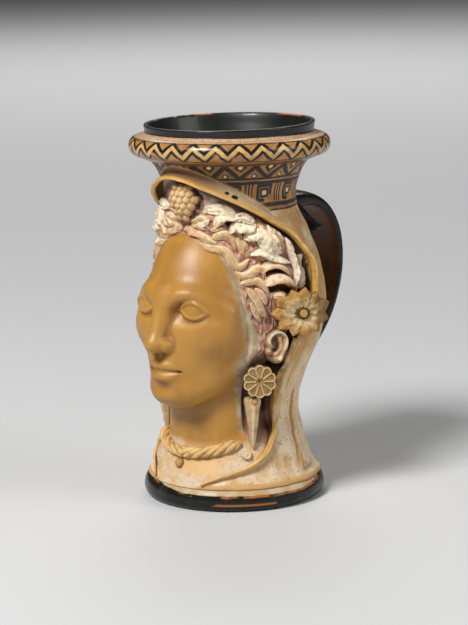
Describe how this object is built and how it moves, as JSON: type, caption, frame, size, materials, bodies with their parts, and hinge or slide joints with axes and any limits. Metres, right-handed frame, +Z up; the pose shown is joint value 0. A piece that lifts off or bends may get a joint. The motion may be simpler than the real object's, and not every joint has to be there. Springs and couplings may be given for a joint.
{
  "type": "head-shaped jug",
  "caption": "Ceramic jug shaped as a veiled head with a wreath of leaves and fruit, flaring patterned mouth, black foot and strap handle.",
  "frame": {"origin": "centre of the flat underside of the foot", "axes": "+Z up, the face looks along -Y, the handle is at +Y, +X is the figure's left side"},
  "size_m": [0.1214, 0.1532, 0.21],
  "materials": {
    "glaze_black": "glossy black slip, worn brown at the edges",
    "skin_slip": "satin burnished ochre slip",
    "veil_slip": "matt cream slip with dark specks",
    "neck_clay": "satin orange clay with painted black bands",
    "ochre_slip": "satin golden ochre slip",
    "hair_paint": "matt cream and pink paint",
    "wreath_paint": "chalky white paint"
  },
  "bodies": {
    "root": {"foot_ring": "glaze_black", "handle": "glaze_black", "handle_spur_left": "glaze_black", "handle_spur_right": "glaze_black", "head_front": "skin_slip", "ear_left": "skin_slip", "ear_right": "skin_slip", "necklace_torque": "skin_slip", "necklace_pendant": "skin_slip", "head_back": "veil_slip", "neck": "neck_clay", "mouth_rim": "neck_clay", "veil_hem_crown": "ochre_slip", "veil_hem_left": "ochre_slip", "veil_hem_right": "ochre_slip", "rosette_left": "ochre_slip", "rosette_right": "ochre_slip", "rosette_boss_left": "ochre_slip", "rosette_boss_right": "ochre_slip", "earring_disc_left": "ochre_slip", "earring_disc_right": "ochre_slip", "earring_bead_left": "ochre_slip", "earring_bead_right": "ochre_slip", "earring_pendant_left": "ochre_slip", "earring_pendant_right": "ochre_slip", "necklace_roundel_left": "ochre_slip", "necklace_roundel_right": "ochre_slip", "hair_lock_1_left": "hair_paint", "hair_lock_1_right": "hair_paint", "hair_lock_2_left": "hair_paint", "hair_lock_2_right": "hair_paint", "hair_lock_3_left": "hair_paint", "hair_lock_3_right": "hair_paint", "hair_lock_4_left": "hair_paint", "hair_lock_4_right": "hair_paint", "hair_lock_5_left": "hair_paint", "hair_lock_5_right": "hair_paint", "hair_lock_6_left": "hair_paint", "hair_lock_6_right": "hair_paint", "hair_lock_7_left": "hair_paint", "hair_lock_7_right": "hair_paint", "hair_lock_8_left": "hair_paint", "hair_lock_8_right": "hair_paint", "grape_cluster": "wreath_paint", "wreath_leaf_1_left": "wreath_paint", "wreath_leaf_1_right": "wreath_paint", "wreath_leaf_2_left": "wreath_paint", "wreath_leaf_2_right": "wreath_paint", "wreath_leaf_3_left": "wreath_paint", "wreath_leaf_3_right": "wreath_paint", "wreath_leaf_4_left": "wreath_paint", "wreath_leaf_4_right": "wreath_paint", "wreath_leaf_5_left": "wreath_paint", "wreath_leaf_5_right": "wreath_paint", "wreath_leaf_6_left": "wreath_paint", "wreath_leaf_6_right": "wreath_paint"}
  },
  "joints": []
}
